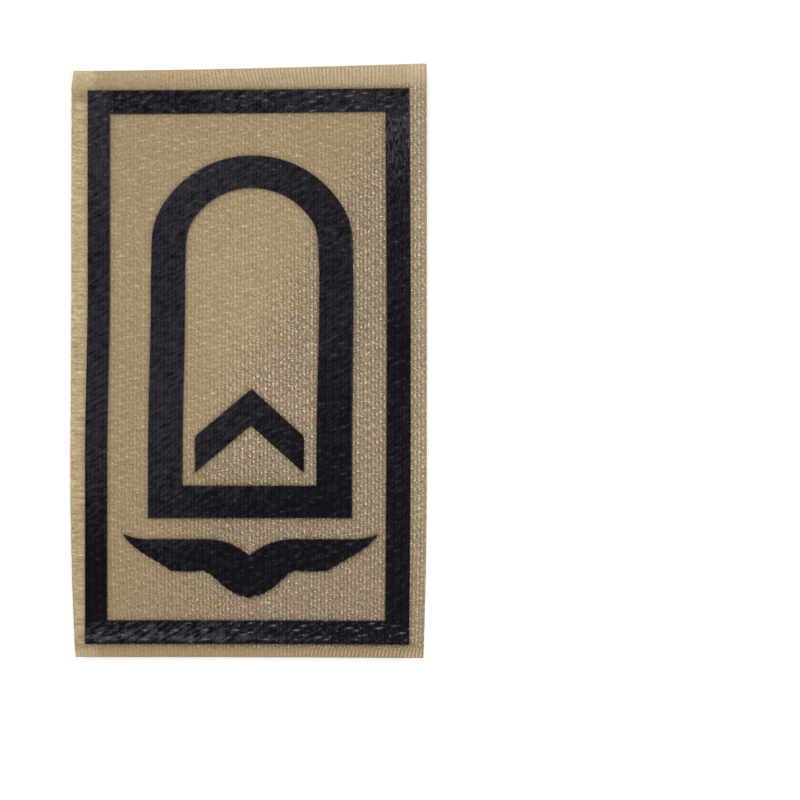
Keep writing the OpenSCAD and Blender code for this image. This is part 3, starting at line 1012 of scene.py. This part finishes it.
def arch_edges():
    """Outer and inner edge of the arch: foot, leg, arc and leg.

    The arc's radius is a little over half the width. At the shoulders the distance from the middle is a soft
    minimum of the leg's and the arc's.
    """
    foot, crown, half = -22.1 * MM, 28.55 * MM, 14.15 * MM
    leg, band, swell = 4.8 * MM, 4.55 * MM, 0.55 * MM
    soft, drop = 0.35 * MM, 2 * MM
    foot_count, leg_count, bow_count = 170, 200, 310

    def edge(half, low, high):
        radius = half + swell
        spring = high - radius
        turn = np.linspace(0, np.pi, bow_count)
        reach = radius * np.cos(turn)
        over = np.abs(half - np.abs(reach))
        out = np.minimum(half, np.abs(reach)) - soft * np.log1p(np.exp(-over / soft))
        along = np.linspace(-half, half, foot_count, endpoint=False)
        up = np.linspace(low, spring - drop, leg_count, endpoint=False)
        down = np.linspace(spring - drop, low, leg_count, endpoint=False)
        right, left = np.full(leg_count, half), np.full(leg_count, -half)
        x = np.concatenate([along, right, np.sign(reach) * out, left])
        y = np.concatenate([np.full(foot_count, low), up, spring + radius * np.sin(turn), down])
        return leaning(MARK_SHIFT + x, y)

    return edge(half, foot, crown), edge(half - leg, foot + band, crown - band)


def chevron_edges():
    """Lower and upper edge of the chevron: two slopes from the middle, the upper one nipped at its ends."""
    half, foot = 15.25 / 2 * MM, -15.75 * MM
    end, crown, rise, nip, aside = 5.05 * MM, 5.1 * MM, 6.65 * MM, 0.25 * MM, 0.18 * MM
    s = np.concatenate([np.linspace(-half, aside, 61)[:-1], np.linspace(aside, half, 61)])
    reach = half - np.sign(s - aside) * aside
    out = np.abs(s - aside) / reach
    lower = blend(end + rise - crown, 0, out)
    upper = np.minimum(end + rise * (1 - out), end - nip + (half - np.abs(s)) * (1 + rise / reach))
    return leaning(MARK_SHIFT + s, foot + lower), leaning(MARK_SHIFT + s, foot + upper)


# The wings' lower edge from the tail outwards, a row for each feather's end: distance out and height, in mm
FEATHERS = np.array([
    [0.0, 0.05], [0.75, 0.4], [1.65, 0.52], [2.5, 1.03], [3.45, 1.63], [4.4, 2.53], [5.4, 3.43],
    [6.3, 3.85], [10.7, 3.8], [11.6, 4.37], [12.55, 4.98], [13.6, 5.6], [14.65, 6.23], [15.6, 6.9],
    [16.5, 7.6], [17.6, 8.94],
])


def wing_edges():
    """Lower and upper edge of the wings: feather by feather below, and dip, straight and sweep above."""
    foot, top, dip, shoulder, sweep, span, bulge = -33.25, 8.24, 2.3, 6.4, 0.7, 17.6, 0.13
    tip, thinnest = 3.2, 0.02
    start, step = FEATHERS[:-1], np.diff(FEATHERS, axis=0)
    out = np.column_stack([step[:, 1], -step[:, 0]]) / np.linalg.norm(step, axis=1)[:, None]
    t = np.arange(6) / 6
    curve = start[:, None] + step[:, None] * t[:, None] + out[:, None] * (bulge * np.sin(np.pi * t))[:, None]
    curve = np.concatenate([curve.reshape(-1, 2), FEATHERS[-1:]])
    s = np.linspace(-span, span, 281)
    far = np.abs(s)
    upper = top - dip * np.clip(1 - far / shoulder, 0, None) ** 2.3
    upper = upper + sweep * (np.clip(far - span + tip, 0, None) / tip) ** 2
    lower = np.minimum(np.interp(far, curve[:, 0], curve[:, 1]), upper - thinnest)
    x = MARK_SHIFT + s * MM
    return leaning(x, (foot + lower) * MM), leaning(x, (foot + upper) * MM)


# The edges of each mark, and whether they close on themselves
MARKS = {
    "border_frame": (frame_edges, True),
    "arch": (arch_edges, True),
    "chevron": (chevron_edges, False),
    "wings": (wing_edges, False),
}


class PATCH_OT_marks(bpy.types.Operator):
    """Presses the black marks on the face: border frame, arch, chevron and wings"""

    bl_idname = "patch.marks"
    bl_label = "Pressed marks"

    def execute(self, context):
        settings = context.scene.patch_film
        finish = film_finish("black_film", settings)
        for node, (edges, closed) in MARKS.items():
            piece = film_strip(f"pressed_{node}", finish, *edges(), closed, settings)
            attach(piece, BODY)
            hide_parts(node)
        return {"FINISHED"}


class PATCH_OT_hook_field(bpy.types.Operator):
    """Sets the field of small hooks under the cloth, on the web that holds them"""

    bl_idname = "patch.hook_field"
    bl_label = "Hook field"

    def execute(self, context):
        settings = context.scene.patch_hooks
        rng = np.random.default_rng(19)
        web_points, web_quads = self.web(settings.inset)

        rib, group = np.meshgrid(np.arange(2.5, PAIRS - 1.5), np.arange(2, GROUPS - 1.6))
        rib, group = rib.ravel(), group.ravel()
        x, y = plan((rib - FIRST_RIB) / PAIRS, (group + rib_phase(np.floor(rib))) / GROUPS)
        facing = np.where(np.mod(np.floor(rib), 2) == 0, 1.0, -1.0)
        lean = rng.normal(0, 0.16, x.size)
        shrink = rng.uniform(0.9, 1.0, x.size)
        points, quads, caps = self.hooks(x, y, facing, lean, shrink, settings)
        points = np.concatenate([web_points, points])
        quads = np.concatenate([web_quads, quads + len(web_points)])
        deep, pale = ([c * share for c in settings.colour] for share in (0.8, 1.25))
        finish = mottled_finish("hook_nylon_tan", deep, pale, 700.0, 2.0, 0.38, 0.1)
        piece = put_mesh("hook_field", finish, points, quads, caps + len(web_points))
        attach(piece, BODY)
        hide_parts("hook_backing")
        return {"FINISHED"}

    @staticmethod
    def web(inset):
        """Closed thin sheet over the hooks: two grids of shares at two heights, and a wall."""
        aside, up = inset / (2 * HALF_W), inset / (2 * HALF_H)
        u, v = np.meshgrid(np.linspace(aside, 1 - aside, 25), np.linspace(up, 1 - up, 41))
        x, y = plan(u, v)
        layers = [raised(x, y, h).reshape(-1, 3) for h in (HOOK_TOP, HOOK_TOP - WEB_THICK)]
        high = np.arange(u.size).reshape(u.shape)
        low = high + u.size
        quads = [grid_quads(high), grid_quads(low)[:, ::-1], band_quads(ring_of(low), ring_of(high))]
        return np.concatenate(layers), np.concatenate(quads)

    @staticmethod
    def hooks(x, y, facing, lean, shrink, settings):
        """Round wires along a path: a straight stem down from the web and a half turn at its foot.

        A ring of points stands square to the path at each of its stations.
        """
        sides, bend = 5, settings.bend
        turn = np.radians([45, 90, 135, 185])
        low = settings.wire + bend
        path_x = np.concatenate([[0, 0], bend * (1 - np.cos(turn))])
        path_z = np.concatenate([[HOOK_TOP - STEM_IN_WEB, low], low - bend * np.sin(turn)])
        aim = np.concatenate([[0, 0], turn])[:, None]
        ring = 2 * np.pi * np.arange(sides) / sides
        out = np.cos(ring) * settings.wire
        ring_x = path_x[:, None] - bend + out * np.cos(aim)
        ring_z = path_z[:, None] - out * np.sin(aim)
        ring_y = np.sin(ring) * settings.wire

        x, y, facing, lean, shrink = (one[:, None, None] for one in (x, y, facing, lean, shrink))
        along = facing * ring_x * shrink
        px = x + along * np.cos(lean) - ring_y * np.sin(lean)
        py = y + along * np.sin(lean) + ring_y * np.cos(lean)
        points = raised(px, py, HOOK_TOP - (HOOK_TOP - ring_z) * shrink).reshape(-1, 3)
        return points, *tube_faces(facing.ravel() < 0, len(path_x), sides)


class PATCH_OT_edge_fibres(bpy.types.Operator):
    """Lets short fibre ends stand out of the cut edges"""

    bl_idname = "patch.edge_fibres"
    bl_label = "Edge fibres"

    def execute(self, context):
        """Each fibre is a thin tapering tube that runs out of its edge and bends aside as a parabola."""
        rng = np.random.default_rng(43)
        count, inside = 150, 0.004
        along = rng.uniform(0.01, 0.99, count)
        # The side that each stands out of, as foot, right, head and left
        side = rng.choice(4, count, p=[0.2, 0.38, 0.2, 0.22])
        edge = np.where(np.isin(side, [0, 3]), inside, 1 - inside)
        upright = np.isin(side, [1, 3])
        u = np.where(upright, edge, along)
        v = np.where(upright, along, edge)
        x, y = plan(u, v)
        out = np.array([[0, -1], [1, 0], [0, 1], [-1, 0]])[side]
        root_h = blend(HOOK_TOP + 0.1 * MM, CLOTH_TOP - 0.5 * MM, rng.uniform(0, 1, count))
        length = rng.uniform(0.12, 0.4, count) * MM
        sway = rng.normal(0, 0.45, count)
        rise = rng.normal(-0.1, 0.5, count)
        curl = rng.normal(0, 0.5, count)
        t = np.linspace(0, 1, 4)[None, :]
        reach = length[:, None] * t
        bent = (sway[:, None] + curl[:, None] * t) * reach
        out_x, out_y = out[:, 0, None], out[:, 1, None]
        px = x[:, None] + out_x * reach - out_y * bent
        py = y[:, None] + out_y * reach + out_x * bent
        ph = root_h[:, None] + rise[:, None] * reach * (1 - 0.5 * t)
        radius = (blend(0.022, 0.012, t) * MM)[..., None]
        ring = 2 * np.pi * np.arange(3) / 3
        aside = radius * np.cos(ring)
        qx = px[..., None] - out_y[..., None] * aside
        qy = py[..., None] + out_x[..., None] * aside
        qh = ph[..., None] + radius * np.sin(ring)
        quads, caps = tube_faces(np.zeros(count, bool), t.size, len(ring))
        finish = mottled_finish("tan_fibre", (0.42, 0.33, 0.21), (0.66, 0.55, 0.4), 1500.0, 2.0, 0.55)
        piece = put_mesh("edge_fibres", finish, raised(qx, qy, qh).reshape(-1, 3), quads, caps)
        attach(piece, BODY)
        return {"FINISHED"}


class PATCH_PT_sidebar(bpy.types.Panel):
    """Buttons for each piece of the patch"""

    bl_label = "Woven rank patch"
    bl_idname = "PATCH_PT_sidebar"
    bl_space_type = "VIEW_3D"
    bl_region_type = "UI"
    bl_category = "Patch"

    def draw(self, context):
        for operator in STEPS:
            self.layout.operator(operator.bl_idname)


STEPS = (
    PATCH_OT_stage,
    PATCH_OT_face_cloth,
    PATCH_OT_weft,
    PATCH_OT_marks,
    PATCH_OT_hook_field,
    PATCH_OT_edge_fibres,
)
SETTINGS = {
    "patch_weave": WeaveSettings,
    "patch_film": FilmSettings,
    "patch_hooks": HookSettings,
    "patch_stage": StageSettings,
}


def register():
    for group in (*SETTINGS.values(), *STEPS, PATCH_PT_sidebar):
        bpy.utils.register_class(group)
    for name, group in SETTINGS.items():
        setattr(bpy.types.Scene, name, bpy.props.PointerProperty(type=group))


def unregister():
    for name in SETTINGS:
        delattr(bpy.types.Scene, name)
    for group in (PATCH_PT_sidebar, *reversed(STEPS), *SETTINGS.values()):
        bpy.utils.unregister_class(group)


def main():
    register()
    for operator in STEPS:
        group, name = operator.bl_idname.split(".")
        getattr(getattr(bpy.ops, group), name)()


if __name__ == "__main__":
    main()
